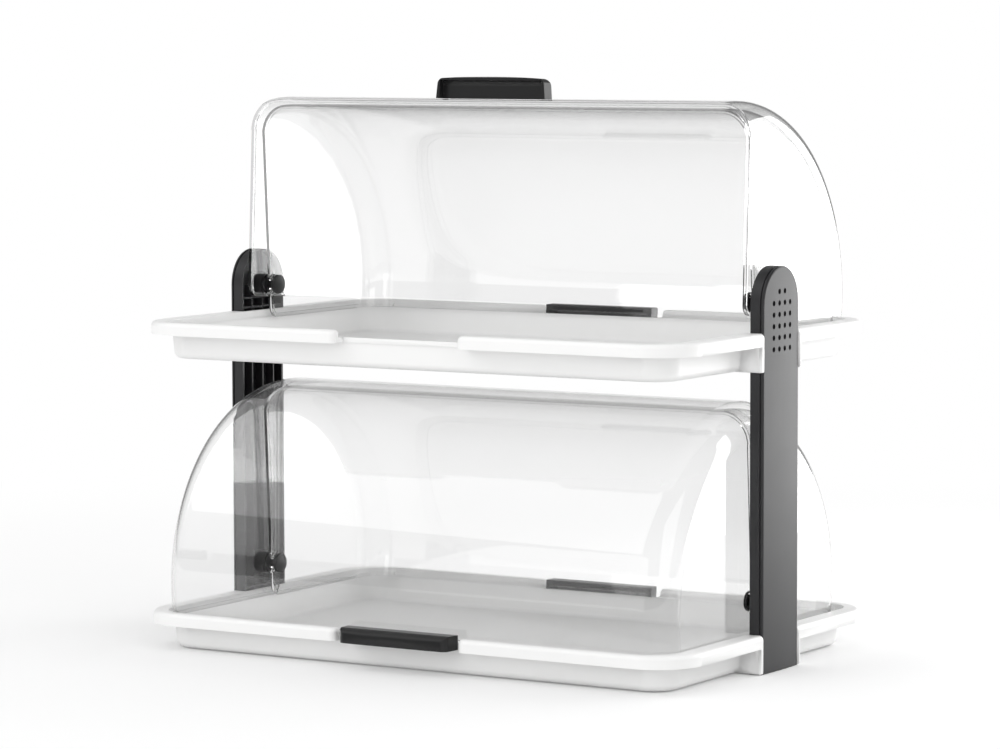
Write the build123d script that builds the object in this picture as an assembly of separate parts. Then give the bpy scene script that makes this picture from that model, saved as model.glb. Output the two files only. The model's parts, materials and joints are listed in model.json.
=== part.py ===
"""Two-tier roll-top display bin for bread: two moulded trays between two side posts, each tray
closed by a front and a rear clear cover that roll about one pair of pivots.

Millimetres. X to the right, +Y to the back, +Z up. The origin lies on the table, under the middle
of the trays. Every piece is modelled at its place at rest: the lower covers are closed, and the
upper front cover is rolled back over the upper rear one.
"""
from build123d import *
from math import asin, atan2, cos, degrees, radians, sin, sqrt, tan
import os

# ---- overall -----------------------------------------------------------------------------------
WIDTH = 590.0  # over the tray rims and the posts
DEPTH = 393.0  # over the tray rims
TRAY_PITCH = 275.6  # from the lower tray to the upper one
FIT = 0.3  # gap between pieces that seat on each other
PAST = 1.0  # how far a cutter passes the face it opens

# ---- trays -------------------------------------------------------------------------------------
TRAY_TOP = 36.5  # rim above the table, lower tray
RIM_CORNER = 47.0
RIM_WALL = 2.8
RIM_ROUND = 4.4  # rounded upper edge of the rim
RIM_WIDTH = 10.0  # raised rim, from its outside to the ledge
RIM_INNER_ROUND = 1.2
SKIRT = 12.0  # height of the turned-down rim
LEDGE_DROP = 7.3  # the covers' seat, below the rim
LEDGE_WALL = 3.0
END_LEDGE = 20.8  # from the rim's outside in to the pan, at each end
SIDE_LEDGE = 18.2  # the same at the front and back
PAN_CORNER = 28.0
PAN_WALL = 3.0
PAN_DRAFT = 2.1  # how far each pan wall leans in from top to bottom
PAN_FLOOR_ROUND = 7.0
FOOT_HEIGHT = 1.0  # the pan hangs this far above the table
FOOT_RADIUS = 9.0
FOOT_INSET = 42.0  # from the pan's sides to the middle of a foot
NOTCH_PLAY = 3.0  # at each end of a lowered handle
NOTCH_STEP = 0.8  # the ledge's face stands this far out of the pan, in a notch
NOTCH_ROUND = 7.0
LUG = 5.0  # wall at each side of a post
LUG_BOTTOM = 1.0
LUG_ROUND = 1.5
LUG_EDGE = 2.4  # rounded upright edge of a lug
LUG_ROOT = 10.0  # how far a lug runs in under the pan

# ---- posts -------------------------------------------------------------------------------------
POST_WIDTH = 69.0
POST_DEPTH = 11.0  # the channel, without its outer cover
POST_WALL = 2.5
POST_GROOVE = 1.2  # shadow groove between the channel and its outer cover
RIB = 1.6
RIB_PITCH = 18.0
SHIELD = 3.2  # outer cover of a post, in its middle
SHIELD_GAP = 0.3
SHIELD_CROWN = 600.0  # radius of the slightly round outer face
SHIELD_ROUND = 1.6
HOLE = 5.0
HOLE_PITCH = 10.5
HOLE_ROWS = (2, 4, 4, 4, 4, 4)  # holes in each row, from the top down
HOLE_TOP = 11.5  # first row above the upper pivot

# ---- pivots ------------------------------------------------------------------------------------
PIVOT_ABOVE_RIM = 25.2
BOSS_RADIUS = 12.0
STUD = 6.0
STUD_INSET = 2.6  # the stud ends this far inside the post's outer face
SHOULDER = 9.0
KNOB = 19.0
KNOB_HEIGHT = 5.8
KNOB_EDGE = 2.0  # straight part of the knob's rim, below the dome
NUT_FLATS = 10.0
NUT_HEIGHT = 5.0
RUNNING = 0.1  # radial play of what turns on the shoulder
WASHER = 1.0
WASHER_RADIUS = 8.5

# ---- covers ------------------------------------------------------------------------------------
COVER_WALL = 3.0
COVER_CORNER = 30.0  # round from the end wall into the curved wall
COVER_INSET = 15.3  # a closed front cover's lower edge, in from the rim's outside
COVER_TO_POST = 5.5
SHELL_GAP = 4.0  # between the front cover and the rear one, all round
END_GAP = 2.5  # the same between their end walls
PIVOT_BAND = 5.5  # clear material round a pivot hole
PIVOT_RING_HEIGHT = 0.5
FRONT_EDGE = 12.0  # a front cover's upright edge passes behind the pivot at this distance
FRONT_LEAN = 0.7  # degrees, away from the cover
REAR_EDGE = 6.3  # a rear cover's upright edge, in front of the pivot
REAR_LEAN = 3.2
PIVOT_CORNER = 10.0

# ---- handles -----------------------------------------------------------------------------------
HANDLE_LENGTH = 126.0
HANDLE_REACH = 21.5  # out from the cover
HANDLE_RISE = 7.0  # tongue above the cover's lower edge
HANDLE_BULGE = 1.8  # the grip's edge is this much further out in the middle
HANDLE_CORNER = 5.0
HANDLE_SKIN = 1.6
HANDLE_CROWN = 0.2
HANDLE_LIP = 11.8  # from the tongue down to the tip of the grip
HANDLE_PLAY = 0.15
NOSE = 8.2  # where the grip's nose starts to round, in from its tip
NOSE_SHOULDER = 2.15  # middle of that round, in from the tip
NOSE_SHOULDER_DROP = 1.4
NOSE_DROP = 5.3  # where the round ends
LIP_WALL = 2.6
LIP_LEAN = 0.9
LIP_ROUND = 1.1
FINGER_REACH = 4.6  # middle of the hollow for the fingertips, in from the tip
FINGER_DROP = 7.3
PALM = 0.8  # flat left between the tongue's pocket and that hollow
FLANGE = 2.4  # clear tongue of the cover that carries the handle
FLANGE_END = 9.0  # the handle is this much longer, at each end
FLANGE_FRONT = 9.5  # and this much deeper

# ---- screws ------------------------------------------------------------------------------------
SCREW = 4.0
SCREW_HEAD = 8.0
SCREW_HEAD_HEIGHT = 2.2
SCREW_LENGTH = 18.0
SCREW_SPREAD = 20.0  # between the two screws of a joint
SCREW_BELOW_RIM = 15.0
SCREW_BOSS = 9.0
SCREW_SKIN = 0.6  # left in the pan wall behind a screw hole
SCREW_PLAY = 0.05

# ---- worked out from the above -----------------------------------------------------------------
LEDGE = TRAY_TOP - LEDGE_DROP
PAN_LENGTH = WIDTH - 2 * END_LEDGE  # outside, at the ledge
PAN_WIDTH = DEPTH - 2 * SIDE_LEDGE
NOTCH_LENGTH = HANDLE_LENGTH + 2 * NOTCH_PLAY
NOTCH_FACE = PAN_WIDTH / 2 + NOTCH_STEP
POST_INNER = WIDTH / 2 - SHIELD - SHIELD_GAP - POST_DEPTH
POST_OUTER = POST_INNER + POST_DEPTH
PIVOT_Z = TRAY_TOP + PIVOT_ABOVE_RIM
UPPER_PIVOT_Z = PIVOT_Z + TRAY_PITCH
EDGE_DROP = PIVOT_Z - LEDGE - FIT  # lower edge of a closed cover, below its pivot
FRONT_RADIUS = sqrt((DEPTH / 2 - COVER_INSET) ** 2 + EDGE_DROP**2)  # the outer cover
REAR_RADIUS = FRONT_RADIUS - COVER_WALL - SHELL_GAP
FRONT_HALF = POST_INNER - COVER_TO_POST
REAR_HALF = FRONT_HALF - COVER_WALL - END_GAP
BOSS_FACE = FRONT_HALF + FIT
KNOB_FACE = REAR_HALF - COVER_WALL - FIT
PIVOT_RING = SHOULDER / 2 + PIVOT_BAND
HANDLE_DROP = EDGE_DROP - HANDLE_RISE  # the tongue's upper face, below the pivot
FLANGE_LENGTH = HANDLE_LENGTH - 2 * FLANGE_END
FLANGE_REACH = HANDLE_REACH - FLANGE_FRONT


def edge_y(height, edge, lean):
    """Where a closed cover's upright edge is past its pivot, at a height above the pivot."""
    return edge + tan(radians(lean)) * height


def roll_back():
    """Degrees that take a front cover from closed until it lies on the rear cover's handle."""
    upright = sqrt(FRONT_RADIUS**2 - edge_y(FRONT_RADIUS, FRONT_EDGE, FRONT_LEAN) ** 2)
    corner = degrees(atan2(upright, -edge_y(upright, FRONT_EDGE, FRONT_LEAN)))
    rest = HANDLE_DROP - HANDLE_SKIN - HANDLE_PLAY - FIT
    return 180 + degrees(asin(rest / FRONT_RADIUS)) - corner


# ---- trays -------------------------------------------------------------------------------------
def rim_plan():
    """Outline of the rim: a rounded rectangle, notched for two handles and two posts."""
    plan = RectangleRounded(WIDTH, DEPTH, RIM_CORNER)
    notch_depth = DEPTH / 2 - NOTCH_FACE
    for side in (-1, 1):
        centre = side * (DEPTH / 2 - notch_depth / 2)
        plan -= Pos(0, centre) * Rectangle(NOTCH_LENGTH, notch_depth)
    plan = fillet(plan.vertices().filter_by(is_notch_lip), NOTCH_ROUND)
    slot_depth = WIDTH / 2 - POST_INNER + FIT
    for side in (-1, 1):
        centre = side * (WIDTH / 2 - slot_depth / 2)
        plan -= Pos(centre, 0) * Rectangle(slot_depth, POST_WIDTH + 2 * FIT)
    return plan


def is_notch_lip(corner):
    """True for the outer corners of a handle notch."""
    beside = abs(abs(corner.X) - NOTCH_LENGTH / 2) < 0.01
    return beside and abs(corner.Y) > NOTCH_FACE + FIT


def rim_shell():
    """Turned-down rim with a rounded upper edge, a sunk ledge inside it and hollow below."""
    plan = rim_plan()
    bottom = TRAY_TOP - SKIRT
    rim = Pos(0, 0, bottom) * extrude(plan, SKIRT)
    rim = fillet(rim.faces().sort_by(Axis.Z)[-1].edges().filter_by(is_outer_edge), RIM_ROUND)
    rim -= Pos(0, 0, LEDGE) * extrude(inside_rim(RIM_WIDTH), SKIRT)
    hollow = offset(plan, -RIM_WALL)
    rim -= Pos(0, 0, bottom) * extrude(hollow, LEDGE - LEDGE_WALL - bottom)
    raised = hollow - inside_rim(RIM_WIDTH - RIM_WALL)
    rim -= Pos(0, 0, bottom) * extrude(raised, SKIRT - RIM_WALL)
    return fillet(rim.edges().filter_by(is_inner_edge), RIM_INNER_ROUND)


def inside_rim(width):
    """The area inside a border of the rim, of the given width."""
    return RectangleRounded(WIDTH - 2 * width, DEPTH - 2 * width, RIM_CORNER - width)


def is_outer_edge(edge):
    """True for the rim's upper edges, except along the pan wall in a notch and around a post."""
    middle = edge @ 0.5
    in_notch = abs(abs(middle.Y) - NOTCH_FACE) < 0.01 and abs(middle.X) < NOTCH_LENGTH / 2
    at_post = abs(middle.Y) < POST_WIDTH / 2 + 2 * FIT and abs(middle.X) > PAN_LENGTH / 2
    return not in_notch and not at_post


def is_inner_edge(edge):
    """True for the upper edges between the raised rim and the ledge inside it."""
    middle = edge @ 0.5
    across = abs(abs(middle.Y) - DEPTH / 2 + RIM_WIDTH) < 0.01
    along = abs(abs(middle.X) - WIDTH / 2 + RIM_WIDTH) < 0.01
    return abs(middle.Z - TRAY_TOP) < 0.01 and (across or along)


def pan_block(inset, floor):
    """The pan's tapered block, drawn in by a wall, from a floor height up to the ledge."""
    length = PAN_LENGTH - 2 * inset
    width = PAN_WIDTH - 2 * inset
    corner = PAN_CORNER - inset
    taper = PAN_DRAFT * (LEDGE - floor) / (LEDGE - FOOT_HEIGHT)
    low = Pos(0, 0, floor) * RectangleRounded(length - 2 * taper, width - 2 * taper, corner - taper)
    high = Pos(0, 0, LEDGE) * RectangleRounded(length, width, corner)
    block = loft([low, high])
    return fillet(block.faces().sort_by(Axis.Z)[0].edges(), PAN_FLOOR_ROUND - inset)


def lugs():
    """Four walls that hold the posts between them, one at each side of each post."""
    height = LEDGE - LUG_BOTTOM
    reach = END_LEDGE + LUG_ROOT
    wall = Box(reach, LUG, height)
    upright = wall.edges().filter_by(Axis.Z).group_by(Axis.X)[-1].sort_by(Axis.Y)[-1]
    wall = fillet(upright, LUG_EDGE)
    under = wall.edges().filter_by(Axis.Y).group_by(Axis.Z)[0].sort_by(Axis.X)[-1]
    wall = fillet(under, LUG_ROUND)
    right = Pos(WIDTH / 2 - reach / 2, POST_WIDTH / 2 + FIT + LUG / 2, LUG_BOTTOM + height / 2) * wall
    right += mirror(right, about=Plane.XZ)
    return right + mirror(right, about=Plane.YZ)


def screw_places():
    """Y and Z of the two screws that join the lower tray to a post."""
    height = TRAY_TOP - SCREW_BELOW_RIM
    return [(-SCREW_SPREAD / 2, height), (SCREW_SPREAD / 2, height)]


def tray_screw_bosses():
    """Bosses on the pan's side walls that take the post screws, with their pilot holes."""
    inner = PAN_LENGTH / 2 - PAN_DRAFT - PAN_WALL
    length = POST_INNER - inner
    bosses, holes = Part(), Part()
    for side in (-1, 1):
        for y, z in screw_places():
            start = Plane((side * inner, y, z), z_dir=(side, 0, 0))
            bosses += extrude(start * Circle(SCREW_BOSS / 2), length)
            tip = Plane((side * (inner + PAN_WALL + SCREW_SKIN), y, z), z_dir=(side, 0, 0))
            holes += extrude(tip * Circle(SCREW / 2 + SCREW_PLAY), length)
    return bosses, holes


def tray():
    """One tray: pan, rim with its ledge, post lugs and screw bosses."""
    bosses, holes = tray_screw_bosses()
    body = rim_shell() + pan_block(0, FOOT_HEIGHT) + lugs() + bosses
    body -= pan_block(PAN_WALL, FOOT_HEIGHT + PAN_WALL)
    body -= holes
    slot = Box(WIDTH / 2, POST_WIDTH + 2 * FIT, 4 * TRAY_TOP)
    for side in (-1, 1):
        body -= Pos(side * (POST_INNER - FIT + WIDTH / 4), 0, 0) * slot
    return body


def feet():
    """Four rubber pads under the lower pan."""
    made = Part()
    for x, y in product_of_signs(PAN_LENGTH / 2 - FOOT_INSET, PAN_WIDTH / 2 - FOOT_INSET):
        made += Pos(x, y, FOOT_HEIGHT / 2) * Cylinder(FOOT_RADIUS, FOOT_HEIGHT)
    return made


def product_of_signs(x, y):
    """The four places at plus and minus x and y."""
    return [(a * x, b * y) for a in (-1, 1) for b in (-1, 1)]


# ---- posts: modelled at the right, mirrored to the left ------------------------------------------
def post_outline():
    """Post seen from the side: straight, with a round top about the upper pivot."""
    half = POST_WIDTH / 2
    straight = Pos(0, UPPER_PIVOT_Z / 2) * Rectangle(POST_WIDTH, UPPER_PIVOT_Z)
    return straight + Pos(0, UPPER_PIVOT_Z) * Circle(half)


def slab(outline, start, thickness):
    """A side-view outline, drawn as (Y, Z), made solid from X = start outwards."""
    side = Plane((start, 0, 0), x_dir=(0, 1, 0), z_dir=(1, 0, 0))
    return extrude(side * outline, thickness)


def disc(y, z, radius, start, length):
    """A round bar along X."""
    return slab(Pos(y, z) * Circle(radius), start, length)


def post_ribs():
    """Upright and cross ribs inside the channel."""
    depth = POST_DEPTH - POST_WALL
    made = Part()
    for y in (-RIB_PITCH, 0, RIB_PITCH):
        made += slab(Pos(y, UPPER_PIVOT_Z / 2) * Rectangle(RIB, UPPER_PIVOT_Z), POST_INNER, depth)
    for pivot in (PIVOT_Z, UPPER_PIVOT_Z):
        for drop in (PIVOT_ABOVE_RIM / 2, PIVOT_ABOVE_RIM - 2 * RIB):
            rib = Pos(0, pivot - drop) * Rectangle(POST_WIDTH - POST_WALL, RIB)
            made += slab(rib, POST_INNER, depth)
    return made


def post():
    """Right post: a channel open to the inside, with ribs, pivot bosses and screw bosses."""
    outline = post_outline()
    hollow = slab(offset(outline, -POST_WALL), POST_INNER, POST_DEPTH - POST_WALL)
    body = slab(outline, POST_INNER, POST_DEPTH - POST_GROOVE)
    body += slab(offset(outline, -POST_GROOVE), POST_INNER, POST_DEPTH)
    body = body - hollow + post_ribs()
    boss_length = POST_OUTER - BOSS_FACE
    for z in (PIVOT_Z, UPPER_PIVOT_Z):
        body += disc(0, z, BOSS_RADIUS, BOSS_FACE, boss_length)
        body -= disc(0, z, STUD / 2 + RUNNING, BOSS_FACE - PAST, boss_length + 2 * PAST)
        pocket = Pos(0, z) * RegularPolygon(NUT_FLATS / 2 + RUNNING, 6, major_radius=False)
        body -= slab(pocket, POST_OUTER - NUT_HEIGHT - RUNNING, NUT_HEIGHT + PAST)
    for tier in (0, TRAY_PITCH):
        for y, z in screw_places():
            body += disc(y, z + tier, SCREW_BOSS / 2, POST_INNER, POST_DEPTH)
            body -= disc(y, z + tier, SCREW / 2 + SCREW_PLAY, POST_INNER - PAST, POST_DEPTH + 2 * PAST)
            sink = SCREW_HEAD_HEIGHT + RUNNING
            body -= disc(y, z + tier, SCREW_HEAD / 2 + RUNNING, POST_OUTER - sink, sink + PAST)
    return body


def shield():
    """Right post's outer cover: slightly round outside, with rows of small holes at the top."""
    start = POST_OUTER + SHIELD_GAP
    plate = slab(post_outline(), start, SHIELD)
    crown = Cylinder(SHIELD_CROWN, 3 * UPPER_PIVOT_Z)
    plate &= Pos(WIDTH / 2 - SHIELD_CROWN, 0, UPPER_PIVOT_Z) * crown
    rim = plate.faces().sort_by(Axis.X)[-1].edges()
    plate = fillet(rim, SHIELD_ROUND)
    for row, count in enumerate(HOLE_ROWS):
        z = UPPER_PIVOT_Z + HOLE_TOP - row * HOLE_PITCH
        for column in range(count):
            y = (column - (count - 1) / 2) * HOLE_PITCH
            plate -= disc(y, z, HOLE / 2, start - PAST, SHIELD + 2 * PAST)
    return plate


# ---- pivots: modelled at the right -----------------------------------------------------------------
def knob(z):
    """Domed knob with the shoulder that the covers turn on, bored for its stud."""
    edge_x = KNOB_FACE - KNOB_EDGE
    tip = KNOB_FACE - KNOB_HEIGHT
    dome = ThreePointArc((tip, 0), knob_dome_middle(tip, edge_x), (edge_x, KNOB / 2))
    outline = dome + Polyline(
        (edge_x, KNOB / 2),
        (KNOB_FACE, KNOB / 2),
        (KNOB_FACE, SHOULDER / 2),
        (BOSS_FACE - RUNNING, SHOULDER / 2),
        (BOSS_FACE - RUNNING, 0),
        (tip, 0),
    )
    body = revolve(make_face(outline), Axis.X)
    start = tip + KNOB_EDGE
    body -= disc(0, 0, STUD / 2, start, BOSS_FACE - start)
    return Pos(0, 0, z) * body


def knob_dome_middle(tip, edge_x):
    """A point half-way along the dome: an arc square to the axis at its tip."""
    rise = edge_x - tip
    radius = (rise**2 + (KNOB / 2) ** 2) / (2 * rise)
    half_turn = asin(KNOB / 2 / radius) / 2
    return (tip + radius * (1 - cos(half_turn)), radius * sin(half_turn))


def stud(z):
    """Threaded stud, moulded into the knob and screwed into the post's nut."""
    start = KNOB_FACE - KNOB_HEIGHT + KNOB_EDGE
    return disc(0, z, STUD / 2, start, POST_OUTER - STUD_INSET - start)


def nut(z):
    """Hexagon nut in the pocket at the outside of the post."""
    outline = Pos(0, z) * RegularPolygon(NUT_FLATS / 2, 6, major_radius=False)
    outline -= Pos(0, z) * Circle(STUD / 2 + RUNNING / 2)
    return slab(outline, POST_OUTER - NUT_HEIGHT, NUT_HEIGHT)


def washer(z):
    """Thin washer that keeps the two covers' end walls apart."""
    start = REAR_HALF + (END_GAP - WASHER) / 2
    ring = Circle(WASHER_RADIUS) - Circle(SHOULDER / 2 + RUNNING)
    return slab(Pos(0, z) * ring, start, WASHER)


def tray_screws():
    """Right-hand screws that hold both trays to the post."""
    made = Part()
    for tier in (0, TRAY_PITCH):
        for y, z in screw_places():
            top = POST_OUTER
            made += disc(y, z + tier, SCREW_HEAD / 2, top - SCREW_HEAD_HEIGHT, SCREW_HEAD_HEIGHT)
            made += disc(y, z + tier, SCREW / 2, top - SCREW_LENGTH, SCREW_LENGTH)
    return made


# ---- covers: modelled closed at the front, with the pivot at the origin -----------------------------
def cover_plan(half, radius, corner):
    """Half section through a cover's round shell, drawn as (X, radius)."""
    full = RectangleRounded(2 * half, 2 * radius, corner)
    return full & Pos(0, radius) * Rectangle(4 * half, 2 * radius)


def cover_side(edge, lean):
    """Side view of the closed cover, drawn as (Y, Z), larger than it needs to be outside."""
    far = 2 * FRONT_RADIUS
    corner = (edge_y(-EDGE_DROP, edge, lean), -EDGE_DROP)
    outline = Polyline(
        corner,
        (-far, -EDGE_DROP),
        (-far, far),
        (edge_y(far, edge, lean), far),
        corner,
    )
    face = make_face(outline)
    under_pivot = face.vertices().sort_by_distance((*corner, 0))[0]
    return fillet(under_pivot, PIVOT_CORNER) + Circle(PIVOT_RING)


def cover(half, radius, side, ring_inside):
    """Clear cover: curved wall, two end walls, pivot holes with rings and the handle's tongue."""
    section = cover_plan(half, radius, COVER_CORNER)
    section -= cover_plan(half - COVER_WALL, radius - COVER_WALL, COVER_CORNER - COVER_WALL)
    shell = revolve(section, Axis.X)
    shell &= slab(side, -2 * half, 4 * half)
    ring_start = half - COVER_WALL - PIVOT_RING_HEIGHT if ring_inside else half
    hole = SHOULDER / 2 + RUNNING
    for turn in (Rot(), Rot(Z=180)):
        shell += turn * disc(0, 0, PIVOT_RING, ring_start, PIVOT_RING_HEIGHT)
        shell -= turn * disc(0, 0, hole, half - 2 * COVER_WALL, 4 * COVER_WALL)
    return shell + tongue(radius)


def face_y(radius):
    """How far out a closed cover's outer face is, level with its tongue."""
    return sqrt(radius**2 - HANDLE_DROP**2)


def tongue(radius):
    """Flat tongue, above the cover's lower edge, that the handle is pushed on to."""
    inner = face_y(radius) - COVER_WALL / 2
    outer = face_y(radius) + FLANGE_REACH
    place = Pos(0, -(inner + outer) / 2, -HANDLE_DROP - FLANGE / 2)
    return place * Box(FLANGE_LENGTH, outer - inner, FLANGE)


def handle(radius):
    """Grip along the cover, just above its lower edge: a hooked section with rounded ends."""
    section = Pos(-face_y(radius), -HANDLE_DROP) * handle_section()
    bar = slab(section, -HANDLE_LENGTH / 2, HANDLE_LENGTH)
    under = -HANDLE_DROP - 2 * HANDLE_LIP
    bar &= Pos(0, -face_y(radius), under) * extrude(handle_plan(), 4 * HANDLE_LIP)
    pocket_reach = FLANGE_REACH + HANDLE_PLAY + COVER_WALL
    pocket = Box(FLANGE_LENGTH + 2 * HANDLE_PLAY, pocket_reach, FLANGE + 2 * HANDLE_PLAY)
    pocket_y = -face_y(radius) - FLANGE_REACH - HANDLE_PLAY + pocket_reach / 2
    return bar - Pos(0, pocket_y, -HANDLE_DROP - FLANGE / 2) * pocket


def handle_plan():
    """Handle from above: square at the cover, round corners, bulged along the grip's edge."""
    half = HANDLE_LENGTH / 2
    end = HANDLE_REACH - HANDLE_BULGE
    outline = Polyline((half, -end), (half, COVER_WALL), (-half, COVER_WALL), (-half, -end))
    outline += ThreePointArc((-half, -end), (0, -HANDLE_REACH), (half, -end))
    face = make_face(outline)
    return fillet(face.vertices().group_by(Axis.Y)[0], HANDLE_CORNER)


def handle_section():
    """Handle cut across, drawn as (Y, Z) from the cover's outer face, level with the tongue."""
    top = HANDLE_SKIN + HANDLE_PLAY
    under = -FLANGE - HANDLE_PLAY - HANDLE_SKIN
    inner = -HANDLE_PLAY - FIT
    crest = (-HANDLE_REACH + NOSE, top + HANDLE_CROWN)
    shoulder = (-HANDLE_REACH + NOSE_SHOULDER, -NOSE_SHOULDER_DROP)
    nose = (-HANDLE_REACH, -NOSE_DROP)
    lip_out = (-HANDLE_REACH + LIP_LEAN, -HANDLE_LIP)
    lip_in = (-HANDLE_REACH + LIP_LEAN + LIP_WALL, -HANDLE_LIP)
    hollow = (-HANDLE_REACH + FINGER_REACH, -FINGER_DROP)
    palm = (-FLANGE_REACH - PALM, under)
    outline = Polyline((inner, top), crest)
    outline += ThreePointArc(crest, shoulder, nose)
    outline += Polyline(nose, lip_out, lip_in)
    outline += ThreePointArc(lip_in, hollow, palm)
    outline += Polyline(palm, (inner, under), (inner, top))
    face = make_face(outline)
    return fillet(face.vertices().group_by(Axis.Y)[0], LIP_ROUND)


# ---- assembly --------------------------------------------------------------------------------------
def at_left(piece):
    """The same piece on the other side."""
    return mirror(piece, about=Plane.YZ)


def to_back(piece):
    """A front piece, turned to face the back."""
    return Rot(Z=180) * piece


def pieces():
    """Every node's name and solid, at rest."""
    made = {}
    one_tray = tray()
    made["lower_tray"] = one_tray
    made["upper_tray"] = Pos(0, 0, TRAY_PITCH) * one_tray
    made["rubber_feet"] = feet()
    made["right_post"] = post()
    made["left_post"] = at_left(made["right_post"])
    made["right_post_cover"] = shield()
    made["left_post_cover"] = at_left(made["right_post_cover"])
    made["right_tray_screws"] = tray_screws()
    made["left_tray_screws"] = at_left(made["right_tray_screws"])

    front_side = cover_side(FRONT_EDGE, FRONT_LEAN)
    rear_side = cover_side(REAR_EDGE, REAR_LEAN)
    front_cover = cover(FRONT_HALF, FRONT_RADIUS, front_side, ring_inside=True)
    rear_cover = to_back(cover(REAR_HALF, REAR_RADIUS, rear_side, ring_inside=False))
    front_handle = handle(FRONT_RADIUS)
    rear_handle = to_back(handle(REAR_RADIUS))
    closed = {"lower": Pos(0, 0, PIVOT_Z), "upper": Pos(0, 0, UPPER_PIVOT_Z)}
    front = {"lower": closed["lower"], "upper": closed["upper"] * Rot(X=-roll_back())}
    for tier, pivot_z in (("lower", PIVOT_Z), ("upper", UPPER_PIVOT_Z)):
        made[f"{tier}_front_cover"] = front[tier] * front_cover
        made[f"{tier}_front_handle"] = front[tier] * front_handle
        made[f"{tier}_rear_cover"] = closed[tier] * rear_cover
        made[f"{tier}_rear_handle"] = closed[tier] * rear_handle
        for name, maker in (("knob", knob), ("stud", stud), ("nut", nut), ("washer", washer)):
            right = maker(pivot_z)
            made[f"{tier}_right_{name}"] = right
            made[f"{tier}_left_{name}"] = at_left(right)
    return made


def main():
    os.makedirs("parts", exist_ok=True)
    for name, solid in pieces().items():
        export_step(solid, f"parts/{name}.step")
        print(name, "solids", len(solid.solids()), "volume", round(solid.volume))
    print("rolled back by", round(roll_back(), 3), "degrees")


if __name__ == "__main__":
    main()
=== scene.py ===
"""Looks of a two-tier roll-top bread display bin, built around its packed CAD frame.

Metres. X to the right, +Y to the back, +Z up, with the origin on the table under the middle of the
trays. The covers, handles and knobs are modelled here and stand for their CAD nodes, and so do the
trays, which are copies of theirs with the raised ends added. The posts, feet and small fastenings
are the CAD nodes with finished materials.
"""
import json
import math

import bmesh
import bpy
from bpy.props import FloatProperty, FloatVectorProperty, IntProperty, PointerProperty
from bpy.types import Operator, Panel, PropertyGroup
from mathutils import Matrix, Vector

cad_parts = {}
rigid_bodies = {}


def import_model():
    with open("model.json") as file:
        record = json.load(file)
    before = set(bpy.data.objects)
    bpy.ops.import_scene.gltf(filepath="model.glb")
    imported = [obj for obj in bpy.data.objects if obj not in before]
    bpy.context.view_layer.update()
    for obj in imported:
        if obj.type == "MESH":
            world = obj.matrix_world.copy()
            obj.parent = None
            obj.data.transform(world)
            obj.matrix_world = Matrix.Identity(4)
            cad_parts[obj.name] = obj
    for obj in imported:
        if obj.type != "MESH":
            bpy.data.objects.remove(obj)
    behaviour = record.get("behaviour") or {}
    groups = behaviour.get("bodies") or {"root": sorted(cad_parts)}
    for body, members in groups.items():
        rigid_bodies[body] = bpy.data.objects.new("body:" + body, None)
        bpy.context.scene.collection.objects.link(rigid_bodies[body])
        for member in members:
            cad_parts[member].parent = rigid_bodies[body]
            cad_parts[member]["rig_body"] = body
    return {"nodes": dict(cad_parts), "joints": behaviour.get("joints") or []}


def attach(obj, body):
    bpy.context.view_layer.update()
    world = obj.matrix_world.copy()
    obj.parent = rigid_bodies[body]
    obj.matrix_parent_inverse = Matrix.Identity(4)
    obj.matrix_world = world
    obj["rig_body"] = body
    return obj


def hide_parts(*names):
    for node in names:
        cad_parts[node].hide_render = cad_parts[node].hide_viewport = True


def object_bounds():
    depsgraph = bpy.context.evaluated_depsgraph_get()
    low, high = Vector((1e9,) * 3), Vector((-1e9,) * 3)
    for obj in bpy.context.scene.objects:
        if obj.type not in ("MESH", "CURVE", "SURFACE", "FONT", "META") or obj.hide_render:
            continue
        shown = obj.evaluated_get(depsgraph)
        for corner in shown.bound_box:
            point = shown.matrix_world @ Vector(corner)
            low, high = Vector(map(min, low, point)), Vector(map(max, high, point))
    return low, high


bl_info = {
    "name": "Bread display bin",
    "version": (1, 0, 0),
    "blender": (4, 5, 0),
    "location": "View3D > Sidebar > Display bin",
    "description": "Models the trays, covers, handles and knobs of a two-tier display bin",
    "category": "Add Mesh",
}

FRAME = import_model()
CAD_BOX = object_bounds()
JOINTS = {joint["name"]: joint for joint in FRAME["joints"]}
PIVOTS = {
    "lower": JOINTS["lower_front_cover_roll"]["pos_m"][2],
    "upper": JOINTS["upper_front_cover_roll"]["pos_m"][2],
}
MM = 0.001
TOUCH = 1e-6  # how near two places are to count as one
WHITE = (1.0, 1.0, 1.0, 1.0)

# The white backdrop: the way to its middle, and the angles from there at which it starts to give
# way to the darker room and has given way.
BACKDROP = (-0.52, 0.85, -0.09)
BACKDROP_INNER, BACKDROP_OUTER = math.radians(9), math.radians(22)

# The floor shows the bin's shadow up to the first distance and is plain white from the second.
FLOOR_NEAR, FLOOR_FAR = 0.45, 1.5
FLOOR_RADIUS = 40.0
FLOOR_LIFT = 0.16  # glow of the near floor as it is seen

# Name, setting of its power, width, place and aim of each light, and the rays that don't see it.
LIGHTS = (
    ("key_light", "key", 2.4, (-1.6, -1.7, 2.6), (0.0, 0.0, 0.2), None),
    ("fill_light", "fill", 2.0, (2.6, -1.2, 1.4), (0.0, 0.0, 0.25), None),
    ("front_light", "front", 2.2, (-0.6, -3.0, 0.5), (0.0, 0.0, 0.25), "visible_glossy"),
    ("back_light", "rim", 1.0, (0.7, 0.92, 0.47), (0.0, 0.1, 0.52), "visible_camera"),
)

# The handle's section, measured from its tip: the places that its arcs pass through.
CREST_STEP = 0.0002
BROW_IN, BROW_DOWN = 0.00215, 0.0014
NOSE_DOWN = 0.0053
HOLLOW_IN, HOLLOW_DOWN = 0.0046, 0.0073
CUT_OVER = 0.001  # how far a cutting piece reaches past what it cuts

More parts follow.
